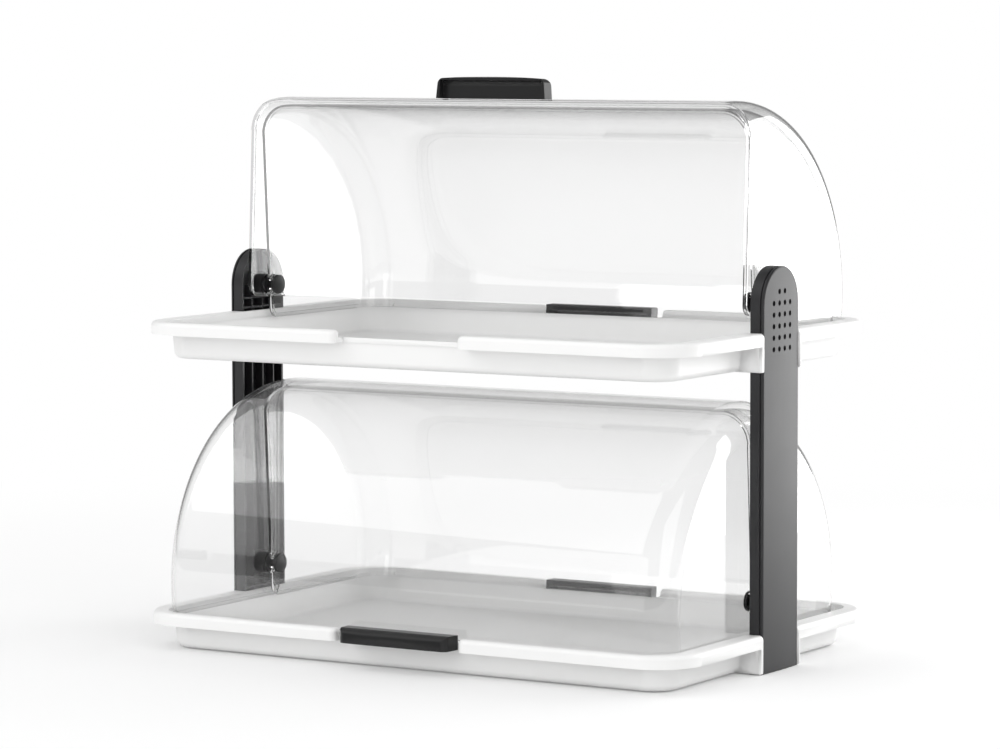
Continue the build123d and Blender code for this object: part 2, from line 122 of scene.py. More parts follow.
# The knob's small rounds.
KNOB_ROUND = 0.0005
DOME_BACK, DOME_IN = 0.0002, 0.0003

TONGUE_CORNER = 0.003
MARK_LEVEL = 0.69  # noise above this is a wiping mark


def setting(name, default, description, **more):
    """A number that a user may change."""
    return FloatProperty(name=name, description=description, default=default, **more)


def length(name, default, description):
    """A size in metres, given in millimetres."""
    return setting(name, default * MM, description, min=0.0, unit="LENGTH", subtype="DISTANCE")


def degrees(name, default, description):
    """An angle in radians, given in degrees."""
    return setting(name, math.radians(default), description, subtype="ANGLE")


def power(name, default, description):
    """A light's power."""
    return setting(name, default, description, unit="POWER")


def colour(name, default, description):
    """A plain linear colour."""
    return FloatVectorProperty(
        name=name, description=description, default=default, size=3, min=0.0, max=1.0, subtype="COLOR"
    )


class BinTraySizes(PropertyGroup):
    """Sizes of the trays' raised ends, inside the rim."""

    end: length("End", 277.0, "Inner side of the raised end, from the middle")
    overlap: length("Overlap", 287.5, "Where the raised end runs into the rim")
    side: length("Side", 186.5, "Inner side of the raised rim at the front and back")
    bury: length("Bury", 2.5, "How far the raised end reaches into the rim")
    corner: length("Corner", 32.0, "Rounded inner corner of the raised end")
    rim_corner: length("Rim corner", 37.0, "Inner corner of the rim that it meets")
    top: length("Top", 36.52, "Top of the raised end, above the tray's foot")
    seat: length("Seat", 27.7, "Its underside, just inside the ledge")
    edge: length("Edge", 1.2, "Rounding of its upper edge")
    post_face: length("Post face", 280.2, "Where the slot for a post starts")
    post_width: length("Post slot", 69.6, "Width of the slot for a post")


class BinCoverSizes(PropertyGroup):
    """Sizes of the clear roll-top covers."""

    wall: length("Wall", 1.7, "Thickness of the clear sheet")
    bead: length("Bead", 3.6, "Thickness of the bead along a cover's edges")
    bead_width: length("Bead width", 3.2, "Width of that bead")
    crease: length("Crease", 0.3, "How far the flat end wall sits inside its rounded corner")
    crease_width: length("Crease width", 0.8, "Width of that step")
    corner: length("Corner", 30.0, "Round from an end wall into the curved wall")
    front_half: length("Front half length", 275.0, "Half the length of a front cover")
    rear_half: length("Rear half length", 269.5, "Half the length of a rear cover")
    front_radius: length("Front radius", 184.04, "Outer radius of a front cover")
    rear_radius: length("Rear radius", 177.04, "Outer radius of a rear cover")
    drop: length("Lower edge", 32.2, "Lower edge of a closed cover, below its pivot")
    front_edge: length("Front cover's upright edge", 12.0, "Where the front cover ends behind its pivot")
    rear_edge: length("Rear cover's upright edge", 6.3, "Where the rear cover ends in front of its pivot")
    front_lean: degrees("Front lean", 0.7, "Lean of the front cover's upright edge")
    rear_lean: degrees("Rear lean", 3.2, "Lean of the rear cover's upright edge")
    pivot_corner: length("Pivot corner", 10.0, "Rounded corner of an end wall under the pivot")
    hole: length("Pivot hole", 4.6, "Radius of the pivot holes")
    lobe: length("Pivot lobe", 10.0, "Radius of the clear material round a pivot hole")
    front_ring: length("Front ring", 271.5, "Inner face of a front cover's pivot rings, from the middle")
    rear_ring: length("Rear ring", 270.0, "Outer face of a rear cover's pivot rings")
    rear_boss: length("Rear boss", 263.7, "Inner face of a rear cover's pivot rings")
    polish: length("Edge polish", 0.45, "Rounding of the sheet's cut edges")
    turn: degrees("Rolled back", 92.788, "How far the upper front cover is rolled back")
    steps: IntProperty(
        name="Steps", description="Facets round a full turn of a cover", default=240, min=48, max=480
    )


class BinHandleSizes(PropertyGroup):
    """Sizes of the pushed-on grips."""

    length: length("Length", 120.0, "Length of a handle")
    reach: length("Reach", 21.3, "How far a handle stands out from its cover")
    bulge: length("Bulge", 1.6, "How much further out the grip is in its middle")
    trim: length("Trim", 0.15, "How much of the nose the plan's curve takes off in the middle")
    corner: length("Corner", 6.0, "Rounded corners of the grip, seen from above")
    draft: length("Draft", 1.3, "How far each end leans in towards the tip")
    rise: length("Rise", 7.0, "Tongue above the cover's lower edge")
    skin: length("Skin", 1.75, "Plastic above the tongue")
    under: length("Underside", 4.15, "From the tongue's upper face down to the flat underside")
    lip: length("Lip", 11.8, "From the tongue down to the tip of the grip")
    lip_wall: length("Lip wall", 2.6, "Thickness of the hooked lip")
    lip_lean: length("Lip lean", 0.9, "How far the lip's tip leans in")
    nose: length("Nose", 8.2, "Where the grip starts to round over, in from its tip")
    palm: length("Palm", 8.7, "Where the hollow for the fingertips ends, in from the tip")
    gap: length("Gap", 0.5, "Gap between the handle's back and the cover")
    end_wall: length("End wall", 4.0, "Thickness of a closed end")
    edge: length("Edge", 0.7, "Rounding of the edges")
    tongue: length("Tongue", 2.4, "Thickness of the clear tongue")
    tongue_reach: length("Tongue reach", 12.0, "How far the tongue goes into the handle")
    tongue_end: length("Tongue end", 9.0, "How much longer the handle is, at each end")


class BinKnobSizes(PropertyGroup):
    """Sizes of the pivot knobs."""

    face: length("Face", 263.4, "Where the knob's flat back is, from the middle of the bin")
    radius: length("Radius", 9.5, "Radius of the knob")
    height: length("Height", 5.8, "Height of the knob")
    edge: length("Edge", 3.6, "Straight part of the knob's rim")
    shoulder: length("Shoulder", 4.5, "Radius of the shoulder that the covers turn on")
    root: length("Root", 275.2, "Where the shoulder ends")
    bore: length("Bore", 3.0, "Radius of the stud in the shoulder")


class BinColours(PropertyGroup):
    """Colours of the plastics and metals."""

    tray: colour("Trays", (0.88, 0.88, 0.875), "White moulded trays")
    post: colour("Posts", (0.022, 0.022, 0.0235), "Anthracite posts")
    grip: colour("Handles", (0.012, 0.012, 0.0125), "Black handles and knobs")
    clear: colour("Covers", (0.985, 0.985, 0.985), "Clear covers")
    zinc: colour("Zinc", (0.62, 0.63, 0.65), "Plated screws, nuts and studs")
    rubber: colour("Rubber", (0.035, 0.035, 0.036), "Rubber feet")


class BinStage(PropertyGroup):
    """Floor, light and camera."""

    floor: colour("Floor", (0.8, 0.8, 0.8), "Colour of the floor")
    key: power("Key light", 19.0, "Power of the large soft light")
    fill: power("Fill light", 12.0, "Power of the light at the other side")
    front: power("Front light", 25.0, "Power of the low light in front")
    rim: power("Back light", 9.0, "Power of the low light behind the bin")
    sky: setting("Surround", 0.79, "Light from the pale surroundings", min=0.0)
    shade: setting("Dark side", 0.3, "Mirrored brightness of the room beside the backdrop", min=0.0)
    lens: setting("Lens", 147.26, "Focal length on a 36 mm sensor", min=1.0)
    azimuth: degrees("Azimuth", 31.49, "Camera's turn round the bin")
    elevation: degrees("Elevation", 4.97, "Camera's height angle")
    roll: degrees("Roll", -0.13, "Camera's tilt")
    distance: length("Distance", 3882.21, "Camera's distance from what it looks at")
    aim_height: length("Aim height", 290.0, "Height of the point that the camera is set from")
    aim_right: setting("Aim right", -5.67 * MM, "Aim moved across the view", unit="LENGTH")
    aim_up: setting("Aim up", -30.12 * MM, "Aim moved up the view", unit="LENGTH")


GROUPS = {
    "bin_tray": BinTraySizes,
    "bin_cover": BinCoverSizes,
    "bin_handle": BinHandleSizes,
    "bin_knob": BinKnobSizes,
    "bin_colours": BinColours,
    "bin_stage": BinStage,
}


# ---- working in edit mode --------------------------------------------------------------------------
def select_nothing():
    """Object mode, with nothing selected."""
    if bpy.context.object and bpy.context.object.mode != "OBJECT":
        bpy.ops.object.mode_set(mode="OBJECT")
    bpy.ops.object.select_all(action="DESELECT")


def select_only(piece):
    """Leaves only this object selected, and makes it the active one."""
    select_nothing()
    piece.select_set(True)
    bpy.context.view_layer.objects.active = piece


def edit(piece, kind="FACE"):
    """Starts edit mode on one piece, with nothing selected."""
    select_only(piece)
    bpy.ops.object.mode_set(mode="EDIT")
    bpy.ops.mesh.select_mode(type=kind)
    bpy.ops.mesh.select_all(action="DESELECT")


def leave():
    """Back to object mode."""
    bpy.ops.object.mode_set(mode="OBJECT")


def pick(test, kind="faces"):
    """Selects the faces, edges or verts of the edited mesh that pass a test, and counts them."""
    mesh = bmesh.from_edit_mesh(bpy.context.object.data)
    for part in getattr(mesh, kind):
        part.select_set(False)
    chosen = [part for part in getattr(mesh, kind) if test(part)]
    for part in chosen:
        part.select_set(True)
    mesh.select_flush_mode()
    bmesh.update_edit_mesh(bpy.context.object.data)
    return len(chosen)


def need(count, what):
    """Stops the script when a selection found nothing."""
    if not count:
        raise RuntimeError(f"nothing found for {what}")


def centre_of(edge):
    """The middle of an edge."""
    return (edge.verts[0].co + edge.verts[1].co) / 2


def modifier(piece, kind, **settings):
    """Adds a modifier, sets it and applies it."""
    select_only(piece)
    bpy.ops.object.modifier_add(type=kind)
    made = piece.modifiers[-1]
    for name, value in settings.items():
        setattr(made, name, value)
    bpy.ops.object.modifier_apply(modifier=made.name)


def smooth(piece, sharp):
    """Smooth shading except across edges sharper than an angle in degrees."""
    select_only(piece)
    bpy.ops.object.shade_smooth_by_angle(angle=math.radians(sharp))


def round_edges(piece, width, segments, sharp):
    """Rounds the edges that are sharper than an angle in degrees."""
    modifier(
        piece, "BEVEL", width=width, segments=segments, limit_method="ANGLE",
        angle_limit=math.radians(sharp), use_clamp_overlap=True,
    )


def smooth_flat(piece, sharp):
    """Smooth shading that keeps the large flat faces flat."""
    smooth(piece, sharp)
    modifier(piece, "WEIGHTED_NORMAL", keep_sharp=True)


def combine(piece, other, operation):
    """Adds, cuts away or intersects another piece, which is then deleted."""
    modifier(piece, "BOOLEAN", object=other, operation=operation, solver="EXACT")
    remove(other)


def merge_all(threshold):
    """Merges the doubles of the edited mesh."""
    bpy.ops.mesh.select_all(action="SELECT")
    bpy.ops.mesh.remove_doubles(threshold=threshold)


def copy_of(piece, name):
    """A copy with its own mesh."""
    select_only(piece)
    bpy.ops.object.duplicate(linked=False)
    made = bpy.context.object
    made.name = name
    made.data.name = name
    return made


def place(piece, matrix):
    """Moves a piece and puts the move into its mesh."""
    piece.matrix_world = matrix
    select_only(piece)
    bpy.ops.object.transform_apply(location=True, rotation=True, scale=True)


def remove(piece):
    """Deletes a pattern piece."""
    select_only(piece)
    bpy.ops.object.delete()


def finish_piece(piece, node, material):
    """Gives a piece its material and lets it stand for a CAD node, on that node's body."""
    piece.data.materials.clear()
    piece.data.materials.append(material)
    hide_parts(node)
    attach(piece, FRAME["nodes"][node]["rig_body"])


# ---- node groups and materials -----------------------------------------------------------------------
def new_group(name, inputs, outputs):
    """An empty shader node group with named sockets."""
    group = bpy.data.node_groups.new(name, "ShaderNodeTree")
    for label, kind, value in inputs:
        socket = group.interface.new_socket(name=label, in_out="INPUT", socket_type=kind)
        if value is not None:
            socket.default_value = value
    for label, kind in outputs:
        group.interface.new_socket(name=label, in_out="OUTPUT", socket_type=kind)
    start = group.nodes.new("NodeGroupInput")
    end = group.nodes.new("NodeGroupOutput")
    return group, start, end


def math_node(tree, operation, first, second=None, clamp=False):
    """A Math node fed by sockets or numbers."""
    node = tree.nodes.new("ShaderNodeMath")
    node.operation = operation
    node.use_clamp = clamp
    for index, value in enumerate((first, second)):
        if value is None:
            continue
        if isinstance(value, (int, float)):
            node.inputs[index].default_value = value
        else:
            tree.links.new(value, node.inputs[index])
    return node.outputs[0]


def noise_node(tree, vector, scale, detail=2.0, roughness=0.5):
    """A Noise texture's value, its scale a socket or a number."""
    node = tree.nodes.new("ShaderNodeTexNoise")
    tree.links.new(vector, node.inputs["Vector"])
    node.inputs["Detail"].default_value = detail
    node.inputs["Roughness"].default_value = roughness
    if isinstance(scale, (int, float)):
        node.inputs["Scale"].default_value = scale
    else:
        tree.links.new(scale, node.inputs["Scale"])
    return node.outputs["Fac"]


def moulded_finish():
    """Node group: colour and gloss that vary a little over a moulding, and its fine grain."""
    group, start, end = new_group(
        "moulded_finish",
        [
            ("Vector", "NodeSocketVector", None),
            ("Color", "NodeSocketColor", (0.8, 0.8, 0.8, 1.0)),
            ("Shade", "NodeSocketFloat", 0.02),
            ("Roughness", "NodeSocketFloat", 0.4),
            ("Spread", "NodeSocketFloat", 0.05),
            ("Grain Scale", "NodeSocketFloat", 1200.0),
        ],
        [("Color", "NodeSocketColor"), ("Roughness", "NodeSocketFloat"), ("Grain", "NodeSocketFloat")],
    )
    vector = start.outputs["Vector"]
    cloud = noise_node(group, vector, 9.0, detail=3.0)
    centred = math_node(group, "SUBTRACT", cloud, 0.5)
    shade = math_node(group, "MULTIPLY", centred, start.outputs["Shade"])
    lift = math_node(group, "ADD", shade, 1.0)
    tint = group.nodes.new("ShaderNodeVectorMath")
    tint.operation = "SCALE"
    group.links.new(start.outputs["Color"], tint.inputs[0])
    group.links.new(lift, tint.inputs["Scale"])
    group.links.new(tint.outputs["Vector"], end.inputs["Color"])
    patch = noise_node(group, vector, 38.0, detail=4.0, roughness=0.6)
    patch = math_node(group, "SUBTRACT", patch, 0.5)
    patch = math_node(group, "MULTIPLY", patch, start.outputs["Spread"])
    rough = math_node(group, "ADD", patch, start.outputs["Roughness"], clamp=True)
    group.links.new(rough, end.inputs["Roughness"])
    cell = group.nodes.new("ShaderNodeTexVoronoi")
    cell.feature = "SMOOTH_F1"
    group.links.new(vector, cell.inputs["Vector"])
    group.links.new(start.outputs["Grain Scale"], cell.inputs["Scale"])
    fine = noise_node(group, vector, start.outputs["Grain Scale"], detail=2.0)
    grain = math_node(group, "ADD", cell.outputs["Distance"], fine)
    group.links.new(grain, end.inputs["Grain"])
    return group


def wiping_marks():
    """Node group: faint hairline marks from wiping, as a mask."""
    group, start, end = new_group(
        "wiping_marks",
        [
            ("Vector", "NodeSocketVector", None),
            ("Scale", "NodeSocketFloat", 60.0),
            ("Amount", "NodeSocketFloat", 0.5),
        ],
        [("Mask", "NodeSocketFloat")],
    )
    masks = []
    for turn, stretch in ((0.35, (1.0, 34.0, 34.0)), (1.25, (30.0, 1.0, 30.0))):
        mapping = group.nodes.new("ShaderNodeMapping")
        mapping.inputs["Rotation"].default_value = (turn, turn * 0.7, turn * 1.3)
        mapping.inputs["Scale"].default_value = stretch
        group.links.new(start.outputs["Vector"], mapping.inputs["Vector"])
        hair = noise_node(group, mapping.outputs["Vector"], start.outputs["Scale"], detail=1.0)
        masks.append(math_node(group, "GREATER_THAN", hair, MARK_LEVEL))
    both = math_node(group, "ADD", masks[0], masks[1], clamp=True)
    group.links.new(math_node(group, "MULTIPLY", both, start.outputs["Amount"]), end.inputs["Mask"])
    return group


def place_group(tree, group, vector, **values):
    """A group in a material, with its own values."""
    node = tree.nodes.new("ShaderNodeGroup")
    node.node_tree = group
    tree.links.new(vector, node.inputs["Vector"])
    for label, value in values.items():
        node.inputs[label.replace("_", " ").title()].default_value = value
    return node


def new_material(name):
    """A material with its Principled shader, output and Object coordinates."""
    material = bpy.data.materials.new(name)
    material.use_nodes = True
    tree = material.node_tree
    shader = tree.nodes["Principled BSDF"]
    vector = tree.nodes.new("ShaderNodeTexCoord").outputs["Object"]
    return material, tree, shader, vector


def bump(tree, shader, height, strength, distance):
    """Bump from a height socket into the shader's normal."""
    node = tree.nodes.new("ShaderNodeBump")
    node.inputs["Strength"].default_value = strength
    node.inputs["Distance"].default_value = distance
    tree.links.new(height, node.inputs["Height"])
    tree.links.new(node.outputs["Normal"], shader.inputs["Normal"])


def moulded_material(name, tint, rough, spread, shade, grain, depth, marks=None, specular=0.5):
    """A moulded plastic: varied colour and gloss, moulded grain and, if asked, wiping marks."""
    material, tree, shader, vector = new_material(name)
    finish = place_group(
        tree, bpy.data.node_groups["moulded_finish"], vector,
        color=(*tint, 1.0), shade=shade, roughness=rough, spread=spread, grain_scale=grain,
    )
    tree.links.new(finish.outputs["Color"], shader.inputs["Base Color"])
    roughness = finish.outputs["Roughness"]
    if marks:
        scale, amount = marks
        hair = place_group(tree, bpy.data.node_groups["wiping_marks"], vector, scale=scale, amount=amount)
        roughness = math_node(tree, "ADD", roughness, hair.outputs["Mask"], clamp=True)
    tree.links.new(roughness, shader.inputs["Roughness"])
    shader.inputs["Specular IOR Level"].default_value = specular
    bump(tree, shader, finish.outputs["Grain"], 0.35, depth)
    return material


def clear_material(name, tint):
    """Clear sheet: refracting and faintly marked by wiping.

    It lets the lamps' light through to the trays, and a ray that is mirrored inside the sheet more
    than once leaves it, a little dimmed.
    """
    material, tree, shader, vector = new_material(name)
    shader.inputs["Base Color"].default_value = (*tint, 1.0)
    shader.inputs["Transmission Weight"].default_value = 1.0
    shader.inputs["IOR"].default_value = 1.49
    marks = place_group(tree, bpy.data.node_groups["wiping_marks"], vector, scale=46.0, amount=0.035)
    cloud = noise_node(tree, vector, 14.0, detail=3.0)
    haze = math_node(tree, "MULTIPLY", cloud, 0.03)
    roughness = math_node(tree, "ADD", haze, marks.outputs["Mask"], clamp=True)
    tree.links.new(roughness, shader.inputs["Roughness"])
    through = tree.nodes.new("ShaderNodeBsdfTransparent")
    through.inputs["Color"].default_value = (0.97, 0.97, 0.97, 1.0)
    path = tree.nodes.new("ShaderNodeLightPath")
    shallow = tree.nodes.new("ShaderNodeBsdfTransparent")
    shallow.inputs["Color"].default_value = (0.7, 0.7, 0.7, 1.0)
    trapped = math_node(tree, "GREATER_THAN", path.outputs["Glossy Depth"], 1.5)
    surface = shader.outputs[0]
    for share, other in ((trapped, shallow), (path.outputs["Is Shadow Ray"], through)):
        blend = tree.nodes.new("ShaderNodeMixShader")
        tree.links.new(share, blend.inputs[0])
        tree.links.new(surface, blend.inputs[1])
        tree.links.new(other.outputs[0], blend.inputs[2])
        surface = blend.outputs[0]
    tree.links.new(surface, tree.nodes["Material Output"].inputs["Surface"])
    return material


def metal_material(name, tint):
    """Zinc-plated steel of uneven sheen."""
    material, tree, shader, vector = new_material(name)
    finish = place_group(
        tree, bpy.data.node_groups["moulded_finish"], vector,
        color=(*tint, 1.0), shade=0.12, roughness=0.34, spread=0.16, grain_scale=2400.0,
    )
    tree.links.new(finish.outputs["Color"], shader.inputs["Base Color"])
    tree.links.new(finish.outputs["Roughness"], shader.inputs["Roughness"])
    shader.inputs["Metallic"].default_value = 1.0
    bump(tree, shader, finish.outputs["Grain"], 0.2, 0.00002)
    return material


class BIN_OT_finishes(Operator):
    """Build the shared node groups and the bin's materials"""

    bl_idname = "display_bin.finishes"
    bl_label = "Finishes"

    def execute(self, context):
        tints = context.scene.bin_colours
        moulded_finish()
        wiping_marks()
        moulded_material("tray_white", tints.tray, 0.34, 0.08, 0.015, 900.0, 0.00003, marks=(40.0, 0.05))
        moulded_material("post_anthracite", tints.post, 0.4, 0.06, 0.06, 1500.0, 0.00008, specular=0.4)
        moulded_material(
            "grip_black", tints.grip, 0.3, 0.06, 0.08, 1300.0, 0.00003, marks=(70.0, 0.05), specular=0.35
        )
        moulded_material("foot_rubber", tints.rubber, 0.8, 0.1, 0.1, 1800.0, 0.0001)
        clear_material("cover_clear", tints.clear)
        metal_material("zinc_plated", tints.zinc)
        return {"FINISHED"}


# ---- covers ------------------------------------------------------------------------------------------
def closed_cover(name, half, radius, edge, lean):
    """A front cover, closed, with its pivots on the X axis: a drum cut by its edges, made a wall."""
    sizes = bpy.context.scene.bin_cover
    select_nothing()
    bpy.ops.mesh.primitive_cylinder_add(
        vertices=sizes.steps, radius=radius, depth=2 * half, end_fill_type="NGON",
        rotation=(0.0, math.pi / 2, 0.0),
    )
    cover = bpy.context.object
    cover.name = name
    place(cover, cover.matrix_world.copy())
    edit(cover, "EDGE")
    need(pick(lambda e: abs(abs(centre_of(e).x) - half) < TOUCH, "edges"), "rims of the drum")
    bpy.ops.mesh.bevel(offset=sizes.corner, segments=16, affect="EDGES", clamp_overlap=False)
    bpy.ops.mesh.select_mode(type="FACE")
    flat = radius - sizes.corner - sizes.crease_width - sizes.lobe
    for step, depth in ((sizes.crease_width, -sizes.crease), (flat, 0.0), (sizes.lobe - sizes.hole, 0.0)):
        need(pick(is_end_cap), "end walls")
        bpy.ops.mesh.inset(thickness=step, depth=depth, use_individual=True)
    need(pick(is_end_cap), "pivot holes")
    bpy.ops.mesh.delete(type="FACE")
    trim_edges(half, edge, lean)
    merge_all(20 * TOUCH)
    bpy.ops.mesh.normals_make_consistent(inside=False)
    leave()
    modifier(cover, "SOLIDIFY", thickness=sizes.wall, offset=-1.0, use_even_offset=True, use_rim=True)
    add_bead(cover, half, radius, edge, lean)
    return cover


def is_end_cap(face):
    """True for the many-sided face at an end of the drum."""
    return len(face.verts) > 4 and abs(face.normal.x) > 0.9


def edge_planes(edge, lean):
    """Points and outward directions of a cover's cut edges: lower, upright and the round between."""
    sizes = bpy.context.scene.bin_cover
    upright = Vector((0.0, math.cos(lean), -math.sin(lean)))
    foot = Vector((0.0, edge - sizes.drop * math.tan(lean), -sizes.drop))
    planes = [(foot, Vector((0.0, 0.0, -1.0))), (foot, upright)]
    centre = foot + Vector((0.0, -sizes.pivot_corner, sizes.pivot_corner))
    for step in range(1, 8):
        angle = step * math.pi / 16
        outwards = Vector((0.0, math.sin(angle), -math.cos(angle)))
        planes.append((centre + outwards * sizes.pivot_corner, outwards))
    return planes


def trim_edges(half, edge, lean):
    """Cuts a drum down to the quarter that the cover keeps, and scores the width of its bead."""
    sizes = bpy.context.scene.bin_cover

    def beyond_lobe(face):
        middle = face.calc_center_median()
        return math.hypot(middle.y, middle.z) > sizes.lobe + 0.1 * MM or abs(middle.x) < half - MM

    def anywhere(face):
        return True

    for index, (point, outwards) in enumerate(edge_planes(edge, lean)):
        inner = point - outwards * sizes.bead_width
        need(pick(beyond_lobe), "the bead's line")
        bpy.ops.mesh.bisect(plane_co=inner, plane_no=outwards)
        need(pick(beyond_lobe if index else anywhere), "a cut edge")
        bpy.ops.mesh.bisect(plane_co=point, plane_no=outwards, use_fill=False, clear_outer=True)


def add_bead(cover, half, radius, edge, lean):
    """Thickens the sheet inwards along its cut edges."""
    sizes = bpy.context.scene.bin_cover
    planes = edge_planes(edge, lean)
    core_x, core_radius = half - sizes.corner, radius - sizes.corner

    def in_bead(face):
        middle = face.calc_center_median()
        across = math.hypot(middle.y, middle.z)
        if across < sizes.lobe + 0.1 * MM:
            return False
        if min((point - middle).dot(outwards) for point, outwards in planes) > sizes.bead_width:
            return False
        outside = max(across - core_radius, 0.0) / across
        past_end = middle.x - max(-core_x, min(core_x, middle.x))
        away = Vector((past_end, middle.y * outside, middle.z * outside))
        return face.normal.dot(away) < -0.5 * away.length

    edit(cover)
    need(pick(in_bead), "the bead")
    bpy.ops.mesh.extrude_region_shrink_fatten(TRANSFORM_OT_shrink_fatten={"value": sizes.bead - sizes.wall})
    leave()


def raise_rings(cover, face_x, ring_x):
    """Raises the ring round each pivot hole from one face of the end walls."""
    sizes = bpy.context.scene.bin_cover
    rise = ring_x - face_x
    edit(cover)
    for side in (-1, 1):

        def on_ring(face):
            middle = face.calc_center_median()
            near = math.hypot(middle.y, middle.z) < sizes.lobe
            return near and abs(middle.x - side * face_x) < 10 * TOUCH and face.normal.x * side * rise > 0.0

        need(pick(on_ring), "pivot ring")
        bpy.ops.mesh.extrude_region_move(TRANSFORM_OT_translate={"value": (side * rise, 0.0, 0.0)})
    leave()


def add_tongue(cover, radius):
    """Joins the flat tongue that carries the handle to the cover."""
    sizes = bpy.context.scene.bin_cover
    grip = bpy.context.scene.bin_handle
    drop = sizes.drop - grip.rise
    face = math.sqrt(radius**2 - drop**2)
    inner, outer = face - sizes.wall / 2, face + grip.tongue_reach
    select_nothing()
    bpy.ops.mesh.primitive_cube_add(size=1.0, location=(0.0, -(inner + outer) / 2, -drop - grip.tongue / 2))
    tongue = bpy.context.object
    tongue.scale = (grip.length - 2 * grip.tongue_end, outer - inner, grip.tongue)
    place(tongue, tongue.matrix_basis.copy())

    def front_corner(edge):
        upright = abs(edge.verts[0].co.z - edge.verts[1].co.z) > 0.1 * MM
        return upright and centre_of(edge).y < -outer + TOUCH

    edit(tongue, "EDGE")
    need(pick(front_corner, "edges"), "the tongue's corners")
    bpy.ops.mesh.bevel(offset=TONGUE_CORNER, segments=6, affect="EDGES")
    leave()
    combine(cover, tongue, "UNION")


class BIN_OT_covers(Operator):
    """Model the clear front and rear covers of both tiers"""

    bl_idname = "display_bin.covers"
    bl_label = "Covers"

    def execute(self, context):
        sizes = context.scene.bin_cover
        shapes = {
            "front": (sizes.front_half, sizes.front_radius, sizes.front_edge, sizes.front_lean),
            "rear": (sizes.rear_half, sizes.rear_radius, sizes.rear_edge, sizes.rear_lean),
        }
        for end, (half, radius, edge, lean) in shapes.items():
            pattern = closed_cover(f"{end}_cover_pattern", half, radius, edge, lean)
            outer = half - sizes.crease
            if end == "front":
                raise_rings(pattern, outer - sizes.wall, sizes.front_ring)
            else:
                raise_rings(pattern, outer, sizes.rear_ring)
                raise_rings(pattern, outer - sizes.wall, sizes.rear_boss)
            add_tongue(pattern, radius)
            round_edges(pattern, sizes.polish, 3, 50)
            smooth_flat(pattern, 35)
            for tier in PIVOTS:
                piece = copy_of(pattern, f"{tier}_{end}_clear_cover")
                place(piece, rest_place(tier, end))
                finish_piece(piece, f"{tier}_{end}_cover", bpy.data.materials["cover_clear"])
            remove(pattern)
        return {"FINISHED"}


def rest_place(tier, end):
    """Where a piece that is modelled closed at the front lies at rest."""
    at_pivot = Matrix.Translation((0.0, 0.0, PIVOTS[tier]))
    if end == "rear":
        return at_pivot @ Matrix.Rotation(math.pi, 4, "Z")
    if tier == "upper":
        return at_pivot @ Matrix.Rotation(-bpy.context.scene.bin_cover.turn, 4, "X")
    return at_pivot


# ---- handles -----------------------------------------------------------------------------------------
def drawn_line(name, outline):
    """A chain of edges drawn point by point."""
    select_nothing()
    bpy.ops.mesh.primitive_plane_add(size=0.001)
    piece = bpy.context.object
    piece.name = name
    edit(piece, "VERT")
    bpy.ops.mesh.select_all(action="SELECT")
    bpy.ops.mesh.merge(type="CENTER")
    bpy.ops.transform.translate(value=outline[0])
    for before, after in zip(outline, outline[1:]):
        step = Vector(after) - Vector(before)
        bpy.ops.mesh.extrude_vertices_move(TRANSFORM_OT_translate={"value": step})
    leave()
    return piece


def prism(name, outline, along):
    """A closed outline filled and pulled out along a vector."""
    piece = drawn_line(name, outline)
    edit(piece, "VERT")
    bpy.ops.mesh.select_all(action="SELECT")
    bpy.ops.mesh.edge_face_add()
    bpy.ops.mesh.extrude_region_move(TRANSFORM_OT_translate={"value": along})
    bpy.ops.mesh.select_all(action="SELECT")
    bpy.ops.mesh.normals_make_consistent(inside=False)
    leave()
    return piece


def arc_through(first, middle, last, steps):
    """Points on the circle arc through three (y, z) points."""
    (ax, ay), (bx, by), (cx, cy) = first, middle, last
    doubled = 2 * (ax * (by - cy) + bx * (cy - ay) + cx * (ay - by))
    a2, b2, c2 = ax * ax + ay * ay, bx * bx + by * by, cx * cx + cy * cy
    ux = (a2 * (by - cy) + b2 * (cy - ay) + c2 * (ay - by)) / doubled
    uy = (a2 * (cx - bx) + b2 * (ax - cx) + c2 * (bx - ax)) / doubled
    radius = math.hypot(ax - ux, ay - uy)
    start = math.atan2(ay - uy, ax - ux)
    through = (math.atan2(by - uy, bx - ux) - start) % (2 * math.pi)
    sweep = (math.atan2(cy - uy, cx - ux) - start) % (2 * math.pi)
    if through > sweep:
        sweep -= 2 * math.pi
    angles = [start + sweep * step / steps for step in range(steps + 1)]
    return [(ux + radius * math.cos(angle), uy + radius * math.sin(angle)) for angle in angles]


def handle_sections():
    """The grip's section at its closed ends, and the hollow for the fingertips, from the tongue."""
    sizes = bpy.context.scene.bin_handle
    tip = -sizes.reach
    crest, brow = (tip + sizes.nose, sizes.skin + CREST_STEP), (tip + BROW_IN, -BROW_DOWN)
    nose, foot = (tip, -NOSE_DOWN), (tip + sizes.lip_lean, -sizes.lip)
    grip = [(-sizes.gap, -sizes.lip), (-sizes.gap, sizes.skin)]
    grip += arc_through(crest, brow, nose, 14)
    grip += [foot]
    inner, palm = (foot[0] + sizes.lip_wall, -sizes.lip), (tip + sizes.palm, -sizes.under)
    fingers = [(inner[0], inner[1] - CUT_OVER)]
    fingers += arc_through(inner, (tip + HOLLOW_IN, -HOLLOW_DOWN), palm, 10)
    fingers += [(CUT_OVER, -sizes.under), (CUT_OVER, inner[1] - CUT_OVER)]
    return grip, fingers


